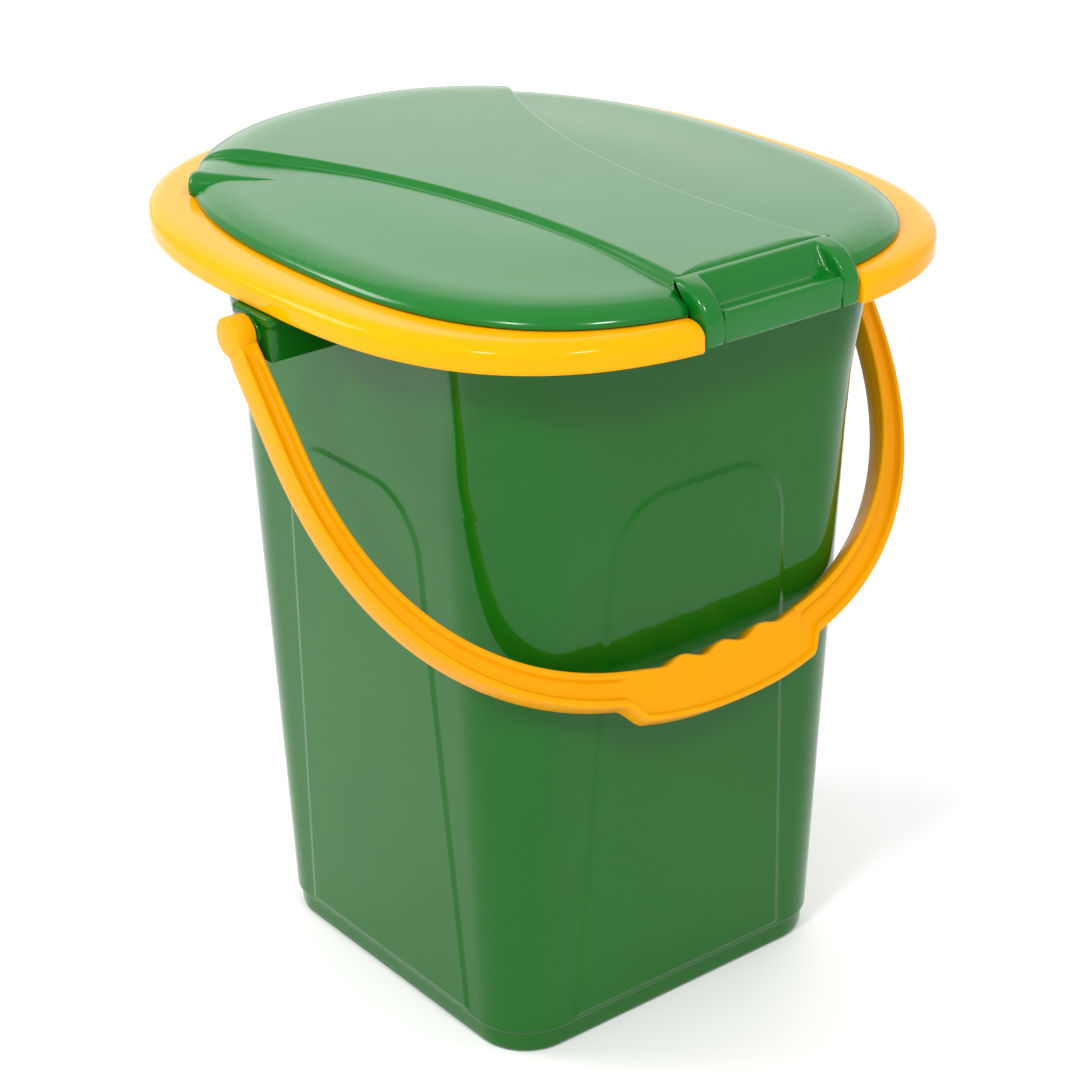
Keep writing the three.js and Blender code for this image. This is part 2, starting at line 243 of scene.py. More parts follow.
def wall_row(panel_half, angle, z, relief, half, radius, out=0.0):
    """One closed row round the bucket that follows the panel's edge on each face.

    angle is the direction of the panel edge's outward normal: 0 on the sides, 90 degrees
    along the top. relief is the panel's height above the wall.
    """
    normal_s, normal_z = math.cos(angle), math.sin(angle)
    inner = EDGE_OFFSETS[0]
    outer = EDGE_OFFSETS[-1]
    half_row = []
    for i in range(PANEL_COLUMNS // 2):
        t = i / (PANEL_COLUMNS // 2)
        half_row.append(((panel_half + inner * normal_s) * t, z + inner * normal_z, relief))
    for offset in EDGE_OFFSETS:
        height = relief if offset <= 0 else 0.0
        half_row.append((panel_half + offset * normal_s, z + offset * normal_z, height))
    corner = half - radius + radius * math.pi / 4
    start = panel_half + outer * normal_s
    for i in range(1, CORNER_COLUMNS + 1):
        t = i / CORNER_COLUMNS
        half_row.append((lerp(start, corner, t), z + outer * normal_z, 0.0))
    row = []
    for turn in range(4):
        for s, height_z, height in reversed(half_row[1:-1]):
            row.append(wall_point(turn, -s, height_z, half, radius, out + height))
        for s, height_z, height in half_row:
            row.append(wall_point(turn, s, height_z, half, radius, out + height))
    return row


def plain_row(z, out=0.0, size_z=None, panel_half=None, relief=0.0):
    half, radius = body_size(z if size_z is None else size_z)
    width = panel_width(z) if panel_half is None else panel_half
    return wall_row(width, 0.0, z, relief, half, radius, out)


def panel_width(z):
    t = (z - STEP_Z) / (PANEL_TOP_Z - PANEL_CORNER - STEP_Z)
    return lerp(PANEL_BASE_HALF, PANEL_TOP_HALF, min(1.0, max(0.0, t)))


def foot_row(half, radius, z):
    return wall_row(PANEL_BASE_HALF, 0.0, z, 0.0, half, radius)


def body_rows():
    rows = []
    # underside: a shallow recess inside a narrow standing edge
    for half, radius, z in (
        (20, 8, 2.0), (60, 18, 2.0), (90, 24, 2.0), (97.5, 25, 1.9), (98.6, 25.4, 0.2),
        (99.4, 25.8, 0.0), (101.2, 26.4, 0.0), (102.6, 27.2, 0.25), (103.6, 27.8, 1.1),
        (104.0, 28, 2.4), (104.3, 28.3, 6.0), (104.7, 28.7, 10.2), (104.8, 28.8, 11.4),
        (105.0, 29.0, 12.0), (105.6, 29.5, 12.45), (106.2, 30.0, 12.9),
    ):
        rows.append(foot_row(half, radius, z))
    for z, relief in ((13.6, 0), (15.0, 0), (16.2, 1), (17.6, 1)):
        rows.append(plain_row(z, relief=PANEL_RAISE * relief))
    straight_top = PANEL_TOP_Z - PANEL_CORNER
    steps = 14
    for i in range(1, steps + 1):
        z = lerp(17.6, straight_top, i / steps)
        rows.append(plain_row(z, relief=PANEL_RAISE))
    arc_steps = 18
    centre = PANEL_TOP_HALF - PANEL_CORNER
    for i in range(1, arc_steps + 1):
        angle = math.pi / 2 * i / arc_steps
        z = straight_top + PANEL_CORNER * math.sin(angle)
        half, radius = body_size(z)
        width = centre + PANEL_CORNER * math.cos(angle)
        rows.append(wall_row(width, angle, z, PANEL_RAISE, half, radius))
    # the panel's flat top edge: only the middle columns still climb
    half, radius = body_size(PANEL_TOP_Z)
    for offset in EDGE_OFFSETS[1:]:
        relief = PANEL_RAISE if offset <= 0 else 0.0
        rows.append(top_edge_row(rows[-1], centre, PANEL_TOP_Z, offset, relief, half, radius))
    for top in (300, 305, 310, 314, 318, 322, 326, 330, 336, 342, 347, 352, 358, 364,
                371, 378, 385, 389.2):
        rows.append(collapsed_row(centre, top))
    for out, drop in ((0.6, 5.0), (2.4, 4.6), (3.0, 4.0), (3.1, 1.0), (2.6, 0.3),
                      (1.6, 0.0), (-1.2, 0.0), (-2.0, 0.4), (-2.4, 1.2)):
        rows.append(collapsed_row(centre, RIM_TOP_Z - drop, out))
    for z in (385, 364, 347, 336, 322, 305, 294, 240, 180, 120, 60, 18, 10):
        rows.append(collapsed_row(centre, z, -WALL))
    for inset, z in ((3.6, 6.4), (6.0, 4.7), (9.5, 4.0)):
        rows.append(collapsed_row(centre, z, -inset, max(z, STEP_Z)))
    rows.append(foot_row(60, 22, 4.0))
    rows.append(foot_row(20, 8, 4.0))
    return rows


def collapsed_row(centre, z, out=0.0, size_z=None):
    """A row above the panels: its edge loops fall together and are welded."""
    half, radius = body_size(z if size_z is None else size_z)
    row = wall_row(centre, math.pi / 2, z, 0.0, half, radius, out)
    return [(x, y, z) for x, y, _ in row]


def top_edge_row(previous, centre, z, offset, relief, half, radius):
    """A row whose middle columns step up over the panel's top edge, while the rest stay."""
    row = []
    per_face = len(previous) // 4
    middle = per_face // 2 - 1
    reach = PANEL_COLUMNS // 2
    index = EDGE_OFFSETS.index(offset)
    for turn in range(4):
        for i in range(per_face):
            steps = abs(i - middle)
            at = previous[turn * per_face + i]
            if steps < reach + index:
                s = min(steps, reach) / reach * centre
                s = s if i >= middle else -s
                at = wall_point(turn, s, z + offset, half, radius, relief)
            row.append(at)
    return row


def make_bracket(sheet, side):
    x_in, x_out, half_y = 117.0, 169.0, 15.6

    def loop(inset, z, radius):
        points = []
        x0, x1, y1 = x_in, x_out - inset, half_y - inset
        for sy, start in ((-1, -90), (1, 0)):
            for i in range(9):
                angle = math.radians(start + 90 * i / 8)
                points.append((
                    x1 - radius + radius * math.cos(angle),
                    sy * (y1 - radius) + radius * math.sin(angle),
                ))
        points.append((x0, y1))
        points.append((x0, -y1))
        return [(side * x, y, z) for x, y in points]

    rows = []
    for inset, z, radius in (
        (6.0, 384.5, 0.8), (1.0, 384.5, 1.6), (0.3, 384.3, 2.2), (0.0, 383.8, 2.4),
        (0.0, 380.8, 2.4), (0.2, 380.4, 2.3), (0.7, 380.2, 2.0), (0.7, 378.0, 2.0),
        (0.7, 370.0, 2.0), (0.7, 364.2, 2.0), (0.9, 363.5, 1.9), (1.4, 363.1, 1.6),
        (2.6, 363.0, 1.2), (3.3, 363.4, 1.0), (3.5, 365.0, 1.0), (3.5, 380.0, 1.0),
        (5.0, 381.5, 0.8),
    ):
        rows.append(loop(inset, z, radius))
    sheet.loft(rows)
    stub = [(166.0, 4.4), (171.0, 4.4), (175.6, 4.4), (176.6, 4.0), (177.0, 3.2)]
    bar_x(sheet, [(side * x, r) for x, r in stub], 0.0, PIVOT_Z)
    collar = [(166.0, 8.0), (169.4, 8.0), (169.9, 7.6), (170.1, 7.0)]
    bar_x(sheet, [(side * x, r) for x, r in collar], 0.0, PIVOT_Z)


def make_bucket():
    sheet = Sheet()
    rows = body_rows()
    starts = sheet.grid(rows)
    sheet.cap(starts[0], len(rows[0]))
    sheet.cap(starts[-1], len(rows[0]))
    for side in (1, -1):
        make_bracket(sheet, side)
    return sheet.build("bucket_shell")


# ---------- seat ring ----------

def ring_section(hole, rim, rounding=True, wall=RING_SKIN, filled=False, bevel=0.0):
    """A closed section from the hole's edge to the rim, both points in plan."""
    length = math.hypot(rim[0] - hole[0], rim[1] - hole[1])
    ux, uy = (rim[0] - hole[0]) / length, (rim[1] - hole[1]) / length
    width, height = RING_ROUND if rounding else (1.2, 1.2)
    skin_z = RING_TOP_Z - RING_SKIN
    contour = [(0.5, RING_BOTTOM_Z), (0.0, 385.6), (0.0, 387.4), (0.0, 389.6)]
    steps = 10
    for i in range(steps + 1):
        angle = math.pi / 2 * i / steps
        contour.append((
            width - width * math.cos(angle),
            RING_TOP_Z - height + height * math.sin(angle),
        ))
    from_hole = [(14.0, RING_TOP_Z), (8.0, RING_TOP_Z)]
    for i in range(1, 7):
        angle = math.pi / 2 * i / 6
        from_hole.append((7 - 7 * math.sin(angle), RING_TOP_Z - 7 + 7 * math.cos(angle)))
    from_hole += [(0.0, 388.0), (0.0, 378.0), (0.5, 377.2), (1.5, 377.0), (2.5, 377.2),
                  (3.0, 378.0), (3.0, 388.0), (3.2, skin_z - 2.6), (5.0, skin_z - 0.4),
                  (9.0, skin_z)]
    inner = [(wall + 8.0, skin_z)]
    for i in range(steps, -1, -2):
        angle = math.pi / 2 * i / steps
        inner.append((
            wall + 5.0 * (1 - math.cos(angle)),
            skin_z - 3.5 + 3.5 * math.sin(angle),
        ))
    inner += [(wall, 386.0), (wall - 0.4, RING_BOTTOM_Z)]
    points = []
    for q, z in contour:
        points.append((rim[0] - ux * q, rim[1] - uy * q, z, 1))
    for q, z in from_hole:
        points.append((hole[0] + ux * q, hole[1] + uy * q, z, 0))
    for q, z in inner:
        points.append((rim[0] - ux * q, rim[1] - uy * q, z, 2))
    section = []
    for x, y, z, kind in points:
        if filled and kind == 2:
            z = RING_BOTTOM_Z + 0.05
        if bevel:
            amount = bevel * smooth(NOTCH_Y - 1, NOTCH_Y + 2, y)
            if kind == 1:
                x, y = x - ux * amount, y - uy * amount
                z = z - amount * smooth(388, 397, z) + amount * smooth(388, 385, z)
        section.append((x, y, z))
    return section


def make_ring():
    sheet = Sheet()
    rim_angle = math.atan2(oval_edge_y(RING_OVAL, NOTCH_HALF), NOTCH_HALF)
    hole_angle = math.atan2(oval_edge_y(HOLE_OVAL, NOTCH_HALF), NOTCH_HALF)
    steps = 220
    rows = []

    def main_section(t, **options):
        """t is 0 at the notch's right side and 1 at its left side, going round the front."""
        rim = lerp(rim_angle, math.pi - rim_angle - 2 * math.pi, t)
        hole_ = lerp(hole_angle, math.pi - hole_angle - 2 * math.pi, t)
        return ring_section(oval_point(HOLE_OVAL, 0, hole_), oval_point(RING_OVAL, 0, rim),
                            **options)

    length = 900.0
    ends = [
        (0.0, dict(filled=True, bevel=1.0)),
        (0.35 / length, dict(filled=True, bevel=0.35)),
        (1.0 / length, dict(filled=True)),
        (4.8 / length, dict(filled=True)),
        (5.2 / length, dict()),
    ]
    for t, options in ends:
        rows.append(main_section(t, **options))
    for i in range(1, steps):
        rows.append(main_section(lerp(ends[-1][0], 1 - ends[-1][0], i / steps)))
    for t, options in reversed(ends):
        rows.append(main_section(1 - t, **options))
    sheet.loft(rows)

    bridge = []
    for i in range(25):
        x = lerp(NOTCH_HALF + 0.02, -NOTCH_HALF - 0.02, i / 24)
        bridge.append(ring_section((x, oval_edge_y(HOLE_OVAL, x)), (x, NOTCH_Y),
                                   rounding=False, wall=5.0))
    sheet.loft(bridge)
    return sheet.build("seat_moulding", weld=0.01)


def oval_edge_y(oval, x):
    """The y of the oval's back edge at a given x."""
    side, back, _, power, _ = oval
    return back * (1 - (abs(x) / side) ** power) ** (1 / power)


# ---------- lid ----------

BAND_EDGE_OFFSETS = (-1.7, -0.85, 0.0, 0.85, 1.7)
BAND_LINES = (-3.9, -2.6, *BAND_EDGE_OFFSETS, 2.6, 3.9)
BAND_WAIST_Y = 74.0
BAND_WAIST_HALF = 38.5
BAND_START_Y = 152.0
BAND_END_Y = -200.0
BAND_STEP = 2.5
BAND_CLEAR = 5.4  # loose points of the lid's top stay this far from the band's edge


def band_half(y):
    """Half width of the raised band: narrowest at its waist, flaring slowly to both ends."""
    if y > BAND_WAIST_Y:
        return BAND_WAIST_HALF + 6 * ((y - BAND_WAIST_Y) / 80) ** 2
    return BAND_WAIST_HALF + 60 * ((BAND_WAIST_Y - y) / 230) ** 2.2


def band_distance(x, y):
    """Distance inside the band's edge, negative on the lobes beside it."""
    slope = (band_half(y + 1) - band_half(y - 1)) / 2
    return (band_half(y) - abs(x)) / math.hypot(1, slope)


def band_amount(x, y):
    """1 on the raised centre band, 0 on the lobes beside it."""
    return smooth(BAND_EDGE_OFFSETS[0], BAND_EDGE_OFFSETS[-1], band_distance(x, y))


LID_TOP_INSET = 2.8


def dome(inset, width, rise):
    """Height of a quarter-ellipse edge above its start."""
    t = min(1.0, max(0.0, inset / width))
    return rise * math.sqrt(1 - (1 - t) ** 2)


def lid_height(x, y, inset=None):
    """Height of the lid's top at a point of its plan."""
    if inset is None:
        inset = oval_inset(LID_OVAL, x, y)
    band = band_amount(x, y)
    round_width = lerp(BAND_ROUND, BAND_BACK_ROUND, smooth(-60, 60, y))
    lobe = dome(inset, LOBE_ROUND, LOBE_RISE)
    lobe = lobe + LOBE_SLOPE * smooth(LOBE_ROUND - 6, 85, inset)
    raised = dome(inset, round_width, BAND_RISE)
    return LID_EDGE_Z + lerp(lobe, raised, band)


def band_line(offset):
    """Points along the band's right edge, moved sideways by offset, inside the lid's top."""
    points = []
    y = BAND_START_Y
    while y > BAND_END_Y:
        slope = (band_half(y + 1) - band_half(y - 1)) / 2
        scale = math.hypot(1, slope)
        x = band_half(y) - offset * scale
        if oval_inset(LID_OVAL, x, y) < LID_TOP_INSET:
            break
        points.append((x, y))
        y -= BAND_STEP
    # the exact crossing with the top's boundary
    low, high = y, y + BAND_STEP
    for _ in range(30):
        middle = (low + high) / 2
        slope = (band_half(middle + 1) - band_half(middle - 1)) / 2
        x = band_half(middle) - offset * math.hypot(1, slope)
        if oval_inset(LID_OVAL, x, middle) < LID_TOP_INSET:
            low = middle
        else:
            high = middle
    points.append((x, middle))
    return points


def make_lid_cover():
    lines = {}
    angles = [2 * math.pi * i / LID_EDGE_STEPS for i in range(LID_EDGE_STEPS)]
    for offset in BAND_LINES:
        line = band_line(offset)
        lines[offset] = line
        end = line[-1]
        for x in (end[0], -end[0]):
            angles.append(math.atan2(end[1], x) % (2 * math.pi))
    angles = sorted(angles)
    kept = [angles[0]]
    for angle in angles[1:]:
        if angle - kept[-1] > 0.003:
            kept.append(angle)
    # leave the hinge block's stretch of the edge open
    open_angle = math.atan2(oval_edge_y(LID_OVAL, 44.5), 44.5)
    kept = [a for a in kept if not open_angle < a < math.pi - open_angle]
    first = next(i for i, a in enumerate(kept) if a >= math.pi - open_angle)
    kept = kept[first:] + kept[:first]

    sheet = Sheet()
    count = len(kept)
    columns = []
    for angle in kept:
        column = []
        for inset, z in ((0.9, LID_BOTTOM_Z), (0.3, LID_BOTTOM_Z + 0.15), (0.0, 399.5)):
            column.append((*oval_point(LID_OVAL, inset, angle), z))
        for inset in (0.0, 0.06, 0.2, 0.45, 0.8, 1.3, 2.0, LID_TOP_INSET):
            x, y = oval_point(LID_OVAL, inset, angle)
            column.append((x, y, lid_height(x, y, inset)))
        columns.append(column)
    rows = [[column[k] for column in columns] for k in range(len(columns[0]))]
    sheet.grid(rows, wrap=False)

    # the top: a triangulation that follows the band's edges and the edge's curve
    points, edges = [], []

    def add_chain(chain):
        start = len(points)
        points.extend(Vector(p) for p in chain)
        for i in range(len(chain) - 1):
            edges.append((start + i, start + i + 1))

    border = [oval_point(LID_OVAL, LID_TOP_INSET, a) for a in kept]
    add_chain(border)
    right, left = border[-1], border[0]
    cut = [(right[0], BLOCK_START_Y + 2.0), (left[0], BLOCK_START_Y + 2.0)]
    start = len(points)
    points.extend(Vector(p) for p in cut)
    edges.extend([(count - 1, start), (start, start + 1), (start + 1, 0)])
    for inset in LID_RING_INSETS:
        ring = [
            oval_point(LID_OVAL, inset, 2 * math.pi * i / LID_RING_STEPS)
            for i in range(LID_RING_STEPS)
        ]
        ring = [p for p in ring if not (abs(p[0]) < 48 and p[1] > BLOCK_START_Y - 4)]
        ring = [p for p in ring if abs(band_distance(*p)) > BAND_CLEAR]
        points.extend(Vector(p) for p in ring)
    for column in range(-17, 18):
        for row in range(-23, 18):
            x = LID_GRID * column
            y = LID_GRID * row + LID_GRID / 2
            clear = oval_inset(LID_OVAL, x, y) > LID_GRID_INSET and y < BLOCK_START_Y - 6.0
            if clear and abs(band_distance(x, y)) > BAND_CLEAR:
                points.append(Vector((x, y)))
    for offset, line in lines.items():
        inside = [p for p in line if p[1] < BLOCK_START_Y + 1.5]
        add_chain(inside)
        add_chain([(-x, y) for x, y in inside])
    result = delaunay_2d_cdt(points, edges, [], 1, 1e-5)
    flat = result[0]
    faces = []
    for face in result[2]:
        cx = sum(flat[i].x for i in face) / len(face)
        cy = sum(flat[i].y for i in face) / len(face)
        beyond = abs(cx) < right[0] and cy > BLOCK_START_Y + 2.0
        if oval_inset(LID_OVAL, cx, cy) > LID_TOP_INSET - 0.3 and not beyond:
            faces.append(face)
    start = sheet.add_points([
        (p.x, p.y, lid_height(p.x, p.y, max(LID_TOP_INSET, oval_inset(LID_OVAL, p.x, p.y))))
        for p in flat
    ])
    for face in faces:
        sheet.faces.append(tuple(start + i for i in face))
    cover = sheet.build("lid_cover", weld=0.05)
    solid = cover.modifiers.new("thickness", "SOLIDIFY")
    solid.thickness = LID_THICKNESS * MM
    solid.offset = -1
    apply_modifiers(cover)
    return cover


def apply_modifiers(obj):
    depsgraph = bpy.context.evaluated_depsgraph_get()
    mesh = bpy.data.meshes.new_from_object(obj.evaluated_get(depsgraph))
    obj.modifiers.clear()
    obj.data = mesh


BLOCK_OUTER = [
    (148.0, 412.3), (150.0, 412.55), (152.5, 412.4), (156.0, 411.9), (159.4, 410.95),
    (162.6, 409.6), (165.4, 407.7), (167.8, 405.4), (169.6, 402.9), (171.0, 400.4),
    (171.8, 398.2), (172.0, 396.4), (172.0, 392.6), (172.0, 387.2), (171.7, 386.2),
    (171.0, 385.7), (168.0, 385.6), (160.0, 385.6), (153.0, 385.6), (151.6, 386.0),
    (151.2, 387.0), (151.0, 391.0), (150.6, 396.0), (148.4, 399.5),
]
BLOCK_POCKET = [
    (148.0, 412.3), (150.0, 412.55), (151.8, 412.5), (153.1, 412.2), (153.9, 411.5),
    (155.4, 409.2), (157.4, 406.4), (159.4, 403.7), (161.0, 401.6), (162.0, 400.8),
    (163.4, 400.55), (167.0, 400.6), (170.4, 400.6), (171.4, 400.3), (171.9, 399.6),
    (172.0, 398.6), (172.0, 392.6), (172.0, 387.2), (171.6, 386.0),
    (168.0, 385.6), (156.0, 385.6), (151.4, 386.4), (151.0, 391.0), (148.4, 399.5),
]


def inset_profile(profile, amount):
    """Moves a closed Y-Z profile inwards. Its points run clockwise seen from +X."""
    result = []
    count = len(profile)
    for i in range(count):
        (y0, z0), (y1, z1), (y2, z2) = profile[i - 1], profile[i], profile[(i + 1) % count]
        ty, tz = y2 - y0, z2 - z0
        length = math.hypot(ty, tz)
        result.append((y1 + amount * tz / length, z1 - amount * ty / length))
    return result


def make_block(sheet):
    rows = []
    half_rows = []
    radius = 2.6
    for i in range(7):
        angle = math.pi / 2 * i / 6
        x = BLOCK_HALF - radius * (1 - math.cos(angle))
        inset = radius * (1 - math.sin(angle))
        half_rows.append((x, inset_profile(BLOCK_OUTER, inset)))
    half_rows.append((40.0, BLOCK_OUTER))
    half_rows.append((36.6, BLOCK_OUTER))
    for t, x in ((0.05, 36.0), (0.25, 35.6), (0.75, 35.2), (0.95, 34.8), (1.0, 34.0), (1.0, 32.0)):
        mixed = [
            (lerp(a[0], b[0], t), lerp(a[1], b[1], t))
            for a, b in zip(BLOCK_OUTER, BLOCK_POCKET)
        ]
        half_rows.append((x, mixed))
    for x in (20.0, 8.0):
        half_rows.append((x, BLOCK_POCKET))
    full = half_rows + [(-x, profile) for x, profile in reversed(half_rows)]
    for x, profile in full:
        rows.append([(x, y, z) for y, z in profile])
    sheet.loft(rows)


def make_hinge():
    sheet = Sheet()
    make_block(sheet)
    for side in (1, -1):
        stub = [(45.0, 3.2), (50.6, 3.2), (51.3, 2.9), (51.8, 2.3)]
        bar_x(sheet, [(side * x, r) for x, r in stub], AXIS_Y, AXIS_Z, 24)
    return sheet.build("hinge_block", weld=0.002)


LIFT_START = Vector((118.4, -126.4, 401.4))
LIFT_END = Vector((86.0, -82.0, 407.6))
LIFT_ROWS = (  # place along the lift, radius
    (0.0, 6.0), (0.015, 7.4), (0.05, 8.1), (0.1, 8.0), (0.3, 6.4),
    (0.55, 4.3), (0.8, 2.1), (0.93, 1.0), (1.0, 0.4),
)
LIFT_STEPS = 40


def make_finger_lift():
    """A tapering ridge from the lid's front corner inwards."""
    start = LIFT_START
    end = LIFT_END
    along = (end - start).normalized()
    across = Vector((0, 0, 1)).cross(along).normalized()
    up = along.cross(across)
    rows = []
    for t, radius in LIFT_ROWS:
        centre = start.lerp(end, t)
        row = []
        for i in range(LIFT_STEPS):
            angle = 2 * math.pi * i / LIFT_STEPS
            point = centre + across * (radius * math.cos(angle)) + up * (radius * math.sin(angle))
            point.z = max(point.z, LID_BOTTOM_Z + 0.4)
            row.append(tuple(point))
        rows.append(row)
    sheet = Sheet()
    sheet.loft(rows)
    return sheet.build("finger_lift", weld=0.0)


# ---------- handle ----------

ARM_OUTER = 181.5
ARM_INNER = 169.5
EYE_INNER = 171.0
ARM_STRAIGHT = 49.0
BOW_OUTER = 178.0
BOW_INNER = 161.0
BOW_STEPS = 240
BOW_POWER = 2.35
HANDLE_THICK = 12.5
GRIP_HALF = 58.5
GRIP_STEP = 7.5
GRIP_BULGE = 2.4
FINGER_PITCH = 24.8
FINGER_DEPTH = 3.4
FINGER_DIP = 0.8
FINGER_CENTRE = -3.0
FINGER_FADE = 14.0
EYE_RADIUS = 9.5


def handle_point(x, d, w):
    """From the handle's own plane: x across, d down from the pivot, w out of its front."""
    y = d * math.sin(TILT) + w * math.cos(TILT)
    z = PIVOT_Z - d * math.cos(TILT) + w * math.sin(TILT)
    return (x, y, z)


def bow_point(side, depth, angle):
    s, c = math.sin(angle), math.cos(angle)
    x = side * math.copysign(abs(s) ** (2 / BOW_POWER), s)
    return [x, ARM_STRAIGHT + depth * abs(c) ** (2 / BOW_POWER)]


def grip_amount(x):
    """1 inside the grip, 0 outside it."""
    return smooth(GRIP_HALF + 3.5, GRIP_HALF - 6.5, abs(x))


def finger_wave(x):
    """Three crests between four finger hollows, inwards from the plain inner edge."""
    reach = abs(x - FINGER_CENTRE)
    end = 1.5 * FINGER_PITCH
    if reach > end:
        return -FINGER_DIP * (1 - smooth(end, end + FINGER_FADE, reach))
    crest = 0.5 * (1 + math.cos(2 * math.pi * reach / FINGER_PITCH))
    return FINGER_DEPTH * crest - FINGER_DIP


def handle_section(outer, inner, grip, channel):
    """A closed section with rounded corners and a channel in its front face."""
    ox, od = outer
    ix, id_ = inner
    width = math.hypot(ix - ox, id_ - od)
    front = HANDLE_THICK / 2
    depth = lerp(3.4, 2.2, grip) * channel
    rim_out = lerp(0.17 * width + 0.5, 2.4, grip)
    rim_in = lerp(0.17 * width + 0.5, 0.9, grip)
    wall = lerp(0.09 * width, 1.6, grip)
    slope = lerp(0.09 * width, 8.0, grip)
    r = 0.9
    profile = [
        (0.0, -front + r), (0.0, 0.0), (0.0, front - r), (0.3 * r, front - 0.3 * r),
        (r, front), (rim_out - 0.5, front), (rim_out, front - 0.12 * channel),
        (rim_out + 0.35 * wall, front - 0.45 * depth), (rim_out + wall, front - 0.93 * depth),
        (rim_out + wall + 0.8, front - depth),
        ((width + rim_out + wall - rim_in - slope) / 2, front - depth),
        (width - rim_in - slope - 0.6, front - depth),
        (width - rim_in - slope, front - 0.93 * depth),
        (width - rim_in - 0.35 * slope, front - 0.45 * depth),
        (width - rim_in, front - 0.12 * channel), (width - rim_in + 0.5, front),
        (width - r, front), (width - 0.3 * r, front - 0.3 * r), (width, front - r),
        (width, 0.0), (width, -front + r), (width - 0.3 * r, -front + 0.3 * r),
        (width - r, -front), (width / 2, -front), (r, -front), (0.3 * r, -front + 0.3 * r),
    ]
    section = []
    for distance, w in profile:
        t = distance / width
        section.append(handle_point(lerp(ox, ix, t), lerp(od, id_, t), w))
    return section


def make_handle():
    sheet = Sheet()
    arms = [0.0, 6.0, 9.0, 11.0, 12.5, 14.0, 17.0, 24.0, 34.0, 42.0]
    stations = []
    for d in arms:
        inner_x = lerp(EYE_INNER, ARM_INNER, d / ARM_STRAIGHT)
        # beside the eye the arm stays just inside it, so that their faces don't coincide
        outer_x = ARM_OUTER - 0.3 * (1 - smooth(8, 14, d))
        stations.append(([outer_x, d], [inner_x, d], smooth(10, 16, d)))
    for i in range(BOW_STEPS + 1):
        angle = math.pi / 2 * (1 - 2 * i / BOW_STEPS)
        outer = bow_point(ARM_OUTER, BOW_OUTER, angle)
        inner = bow_point(ARM_INNER, BOW_INNER, angle)
        outer[1] += GRIP_STEP * grip_amount(outer[0])
        outer[1] += GRIP_BULGE * max(0.0, 1 - (outer[0] / GRIP_HALF) ** 2)
        inner[1] -= finger_wave(inner[0])
        stations.append((outer, inner, 1.0))
    stations += [([-o[0], o[1]], [-n[0], n[1]], c) for o, n, c in reversed(stations[:len(arms)])]
    rows = []
    for outer, inner, channel in stations:
        rows.append(handle_section(outer, inner, grip_amount(outer[0]), channel))
    sheet.loft(rows)
    for side in (1, -1):
        eye = [(EYE_INNER, 8.4), (EYE_INNER + 0.3, 9.1), (EYE_INNER + 1.0, EYE_RADIUS),
               (ARM_OUTER - 1.1, EYE_RADIUS), (ARM_OUTER - 0.35, 9.2), (ARM_OUTER, 8.5)]
        bar_x(sheet, [(side * x, r) for x, r in eye], 0.0, PIVOT_Z, 48)
    return sheet.build("handle_moulding", weld=0.002)


# ---------- materials ----------

def moulded_plastic(name, colour, deep, roughness, gloss, grain=0.02):
    """Glossy moulded plastic: slow colour drift, polish that varies, and faint ripple."""
    material = bpy.data.materials.new(name)
    material.use_nodes = True
    nodes = material.node_tree.nodes
    links = material.node_tree.links
    shader = nodes["Principled BSDF"]
    shader.inputs["IOR"].default_value = 1.5
    shader.inputs["Specular IOR Level"].default_value = gloss
    coords = nodes.new("ShaderNodeTexCoord")

    def noise(scale, detail, rough=0.5):
        node = nodes.new("ShaderNodeTexNoise")
        node.inputs["Scale"].default_value = scale
        node.inputs["Detail"].default_value = detail
        node.inputs["Roughness"].default_value = rough
        links.new(coords.outputs["Object"], node.inputs["Vector"])
        return node

    drift = noise(7.0, 3.0)
    speck = noise(420.0, 2.0)
    mix = nodes.new("ShaderNodeMix")
    mix.data_type = "RGBA"
    ramp = nodes.new("ShaderNodeMapRange")
    ramp.inputs["From Min"].default_value = 0.3
    ramp.inputs["From Max"].default_value = 0.7
    links.new(drift.outputs["Fac"], ramp.inputs["Value"])
    links.new(ramp.outputs["Result"], mix.inputs["Factor"])
    mix.inputs["A"].default_value = (*deep, 1)
    mix.inputs["B"].default_value = (*colour, 1)
    links.new(mix.outputs["Result"], shader.inputs["Base Color"])

    polish = noise(16.0, 5.0, 0.6)
    rough = nodes.new("ShaderNodeMapRange")
    rough.inputs["From Min"].default_value = 0.35
    rough.inputs["From Max"].default_value = 0.7
    rough.inputs["To Min"].default_value = roughness * 0.8
    rough.inputs["To Max"].default_value = roughness * 1.35
    links.new(polish.outputs["Fac"], rough.inputs["Value"])
    links.new(rough.outputs["Result"], shader.inputs["Roughness"])

    ripple = noise(28.0, 2.0)
    add = nodes.new("ShaderNodeMath")
    add.operation = "MULTIPLY_ADD"
    add.inputs[1].default_value = grain
    links.new(speck.outputs["Fac"], add.inputs[0])
    links.new(ripple.outputs["Fac"], add.inputs[2])
    bump = nodes.new("ShaderNodeBump")
    bump.inputs["Strength"].default_value = 0.12
    bump.inputs["Distance"].default_value = 0.0012
    links.new(add.outputs["Value"], bump.inputs["Height"])
    links.new(bump.outputs["Normal"], shader.inputs["Normal"])
    return material


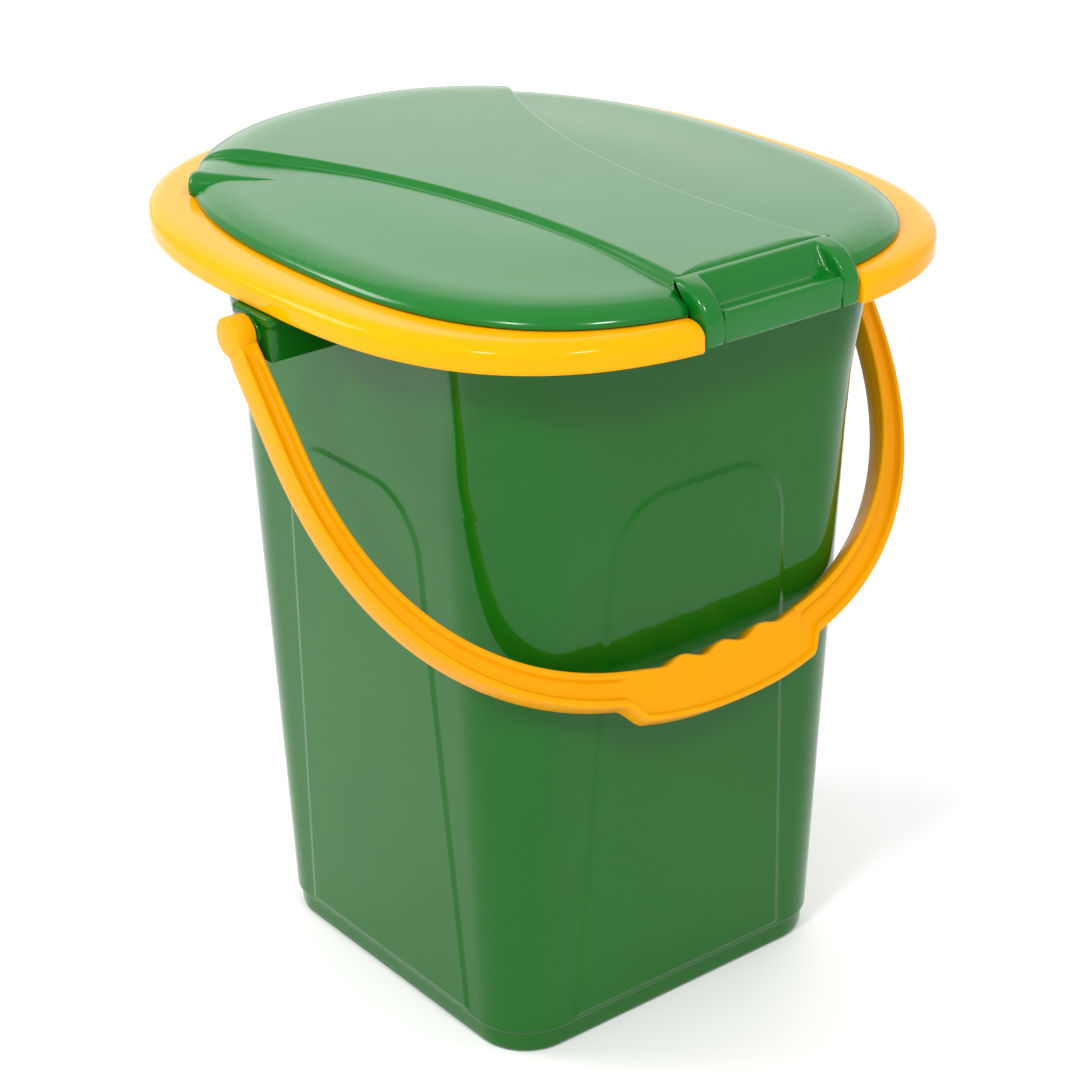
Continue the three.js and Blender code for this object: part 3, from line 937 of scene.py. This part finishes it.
green = moulded_plastic(
    "green_plastic",
    colour=(0.003, 0.112, 0.004), deep=(0.002, 0.097, 0.003), roughness=0.09, gloss=0.29,
)
green_lid = moulded_plastic(
    "green_lid_plastic",
    colour=(0.002, 0.158, 0.013), deep=(0.001, 0.139, 0.010), roughness=0.15, gloss=0.40,
)
yellow = moulded_plastic(
    "yellow_plastic",
    colour=(0.92, 0.39, 0.0), deep=(0.90, 0.36, 0.0), roughness=0.11, gloss=0.11,
)
yellow_grip = moulded_plastic(
    "yellow_handle_plastic",
    colour=(0.80, 0.335, 0.0), deep=(0.77, 0.31, 0.0), roughness=0.20, gloss=0.12,
)


# ---------- pieces ----------

def dress(piece, material, body, node):
    piece.data.materials.clear()
    piece.data.materials.append(material)
    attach(piece, body)
    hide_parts(node)


dress(make_bucket(), green, "bucket", "bucket_body")
dress(make_ring(), yellow, "seat", "seat_ring")
for part in (make_lid_cover(), make_hinge(), make_finger_lift()):
    dress(part, green_lid, "cover", "lid")
dress(make_handle(), yellow_grip, "handle", "bail_handle")


# ---------- stage ----------

def make_floor():
    mesh = bpy.data.meshes.new("floor")
    size = 6.0
    mesh.from_pydata([(-size, -size, 0), (size, -size, 0), (size, size, 0), (-size, size, 0)],
                     [], [(0, 1, 2, 3)])
    floor = bpy.data.objects.new("floor", mesh)
    bpy.context.scene.collection.objects.link(floor)
    material = bpy.data.materials.new("floor_white")
    material.use_nodes = True
    shader = material.node_tree.nodes["Principled BSDF"]
    shader.inputs["Base Color"].default_value = (0.92, 0.92, 0.92, 1)
    shader.inputs["Roughness"].default_value = 0.6
    mesh.materials.append(material)


def area_light(name, place, target, size, power, colour=(1, 1, 1)):
    light = bpy.data.lights.new(name, "AREA")
    light.shape = "RECTANGLE"
    light.size, light.size_y = size
    light.energy = power
    light.color = colour
    obj = bpy.data.objects.new(name, light)
    obj.location = place
    direction = Vector(target) - Vector(place)
    obj.rotation_euler = direction.to_track_quat("-Z", "Y").to_euler()
    bpy.context.scene.collection.objects.link(obj)
    return obj


CAMERA_AZIMUTH = math.radians(141.856)
CAMERA_ELEVATION = math.radians(25.073)
CAMERA_ROLL = math.radians(-0.692)
CAMERA_TARGET = Vector((-0.0083, -0.01516, 0.212))
CAMERA_DISTANCE = 1.4233
CAMERA_LENS = 91.685


def make_camera():
    azimuth = CAMERA_AZIMUTH
    elevation = CAMERA_ELEVATION
    roll = CAMERA_ROLL
    back = Vector((
        math.sin(azimuth) * math.cos(elevation),
        -math.cos(azimuth) * math.cos(elevation),
        math.sin(elevation),
    ))
    right = Vector((math.cos(azimuth), math.sin(azimuth), 0))
    up = back.cross(right)
    turned_right = right * math.cos(roll) + up * math.sin(roll)
    turned_up = up * math.cos(roll) - right * math.sin(roll)
    data = bpy.data.cameras.new("camera")
    data.lens = CAMERA_LENS
    data.sensor_width = 36.0
    camera = bpy.data.objects.new("camera", data)
    place = CAMERA_TARGET + back * CAMERA_DISTANCE
    rotation = Matrix((turned_right, turned_up, back)).transposed()
    camera.matrix_world = Matrix.Translation(place) @ rotation.to_4x4()
    bpy.context.scene.collection.objects.link(camera)
    bpy.context.scene.camera = camera


make_floor()
make_camera()

world = bpy.data.worlds.new("studio")
world.use_nodes = True
background = world.node_tree.nodes["Background"]
background.inputs["Color"].default_value = (1, 1, 1, 1)
background.inputs["Strength"].default_value = 0.84
bpy.context.scene.world = world

# name, place, target, size, power: all in metres and watts
area_light("back_softbox", (-1.6, -2.05, 1.55), (0, 0, 0.4), (5.4, 2.6), 34)
area_light("left_strip", (1.75, 0.75, 1.9), (0, 0, 0.35), (0.34, 0.2), 19)
area_light("near_strip", (0.45, 1.75, 1.95), (0, 0, 0.35), (0.34, 0.2), 19)
area_light("side_pool", (1.3, -1.2, 1.2), (0.42, -0.42, 0.0), (0.7, 0.7), 14)

view_settings = bpy.context.scene.view_settings
view_settings.view_transform = "Standard"
